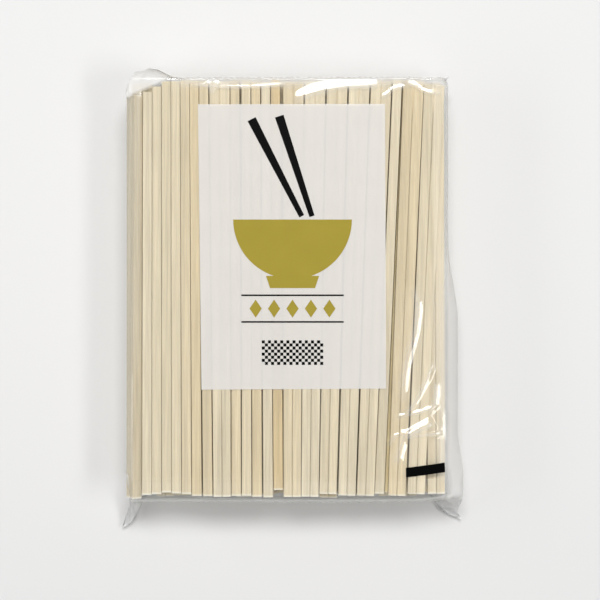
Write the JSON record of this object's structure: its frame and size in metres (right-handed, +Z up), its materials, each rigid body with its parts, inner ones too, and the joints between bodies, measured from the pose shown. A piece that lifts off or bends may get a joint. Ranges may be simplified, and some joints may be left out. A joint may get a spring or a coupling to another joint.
{
  "type": "bag of disposable chopsticks",
  "caption": "Flat sealed bag of clear film packed with unsplit pairs of disposable wooden chopsticks, heads at one end and tips at the other.",
  "frame": {"origin": "centre of the flat underside of the bag, below the middle of the pairs' length", "axes": "+Z up out of the printed side as the bag lies, +Y along the pairs towards their heads, +X to the right seen from above with the heads away from the viewer"},
  "size_m": [0.1674, 0.2282, 0.0351],
  "materials": {
    "wood": "pale sawn aspen or birch, unvarnished, fine straight grain along the length",
    "wood_warm": "the same wood from nearer the heart, a little more orange",
    "film": "clear glossy polypropylene film, tight over the wood, creased at the ends and one corner",
    "ink_white": "slightly translucent white ink printed on the film",
    "ink_gold": "dull gold ink printed over the white",
    "ink_black": "black ink printed on the film"
  },
  "bodies": {
    "root": {"bottom_pair_01": "wood", "bottom_pair_02": "wood", "bottom_pair_03": "wood", "bottom_pair_04": "wood", "bottom_pair_05": "wood", "bottom_pair_06": "wood", "bottom_pair_07": "wood", "bottom_pair_08": "wood", "bottom_pair_09": "wood", "bottom_pair_10": "wood", "bottom_pair_11": "wood", "bottom_pair_12": "wood", "bottom_pair_13": "wood", "film_bag": "film", "inner_row_2": "wood", "inner_row_3": "wood", "inner_row_4": "wood", "inner_row_5": "wood", "second_pair_01": "wood", "second_pair_02": "wood", "second_pair_03": "wood", "second_pair_04": "wood", "second_pair_05": "wood", "second_pair_06": "wood", "second_pair_07": "wood_warm", "second_pair_08": "wood", "top_pair_01": "wood", "top_pair_02": "wood", "top_pair_03": "wood", "top_pair_04": "wood", "top_pair_05": "wood", "top_pair_06": "wood", "top_pair_07": "wood", "top_pair_08": "wood", "top_pair_09": "wood", "top_pair_10": "wood", "top_pair_11": "wood", "top_pair_12": "wood", "top_pair_13": "wood", "top_pair_14": "wood_warm", "top_pair_15": "wood", "top_pair_16": "wood", "top_pair_17": "wood", "top_pair_18": "wood", "top_pair_19": "wood", "top_pair_20": "wood", "top_pair_21": "wood", "top_pair_22": "wood"}
  },
  "joints": []
}
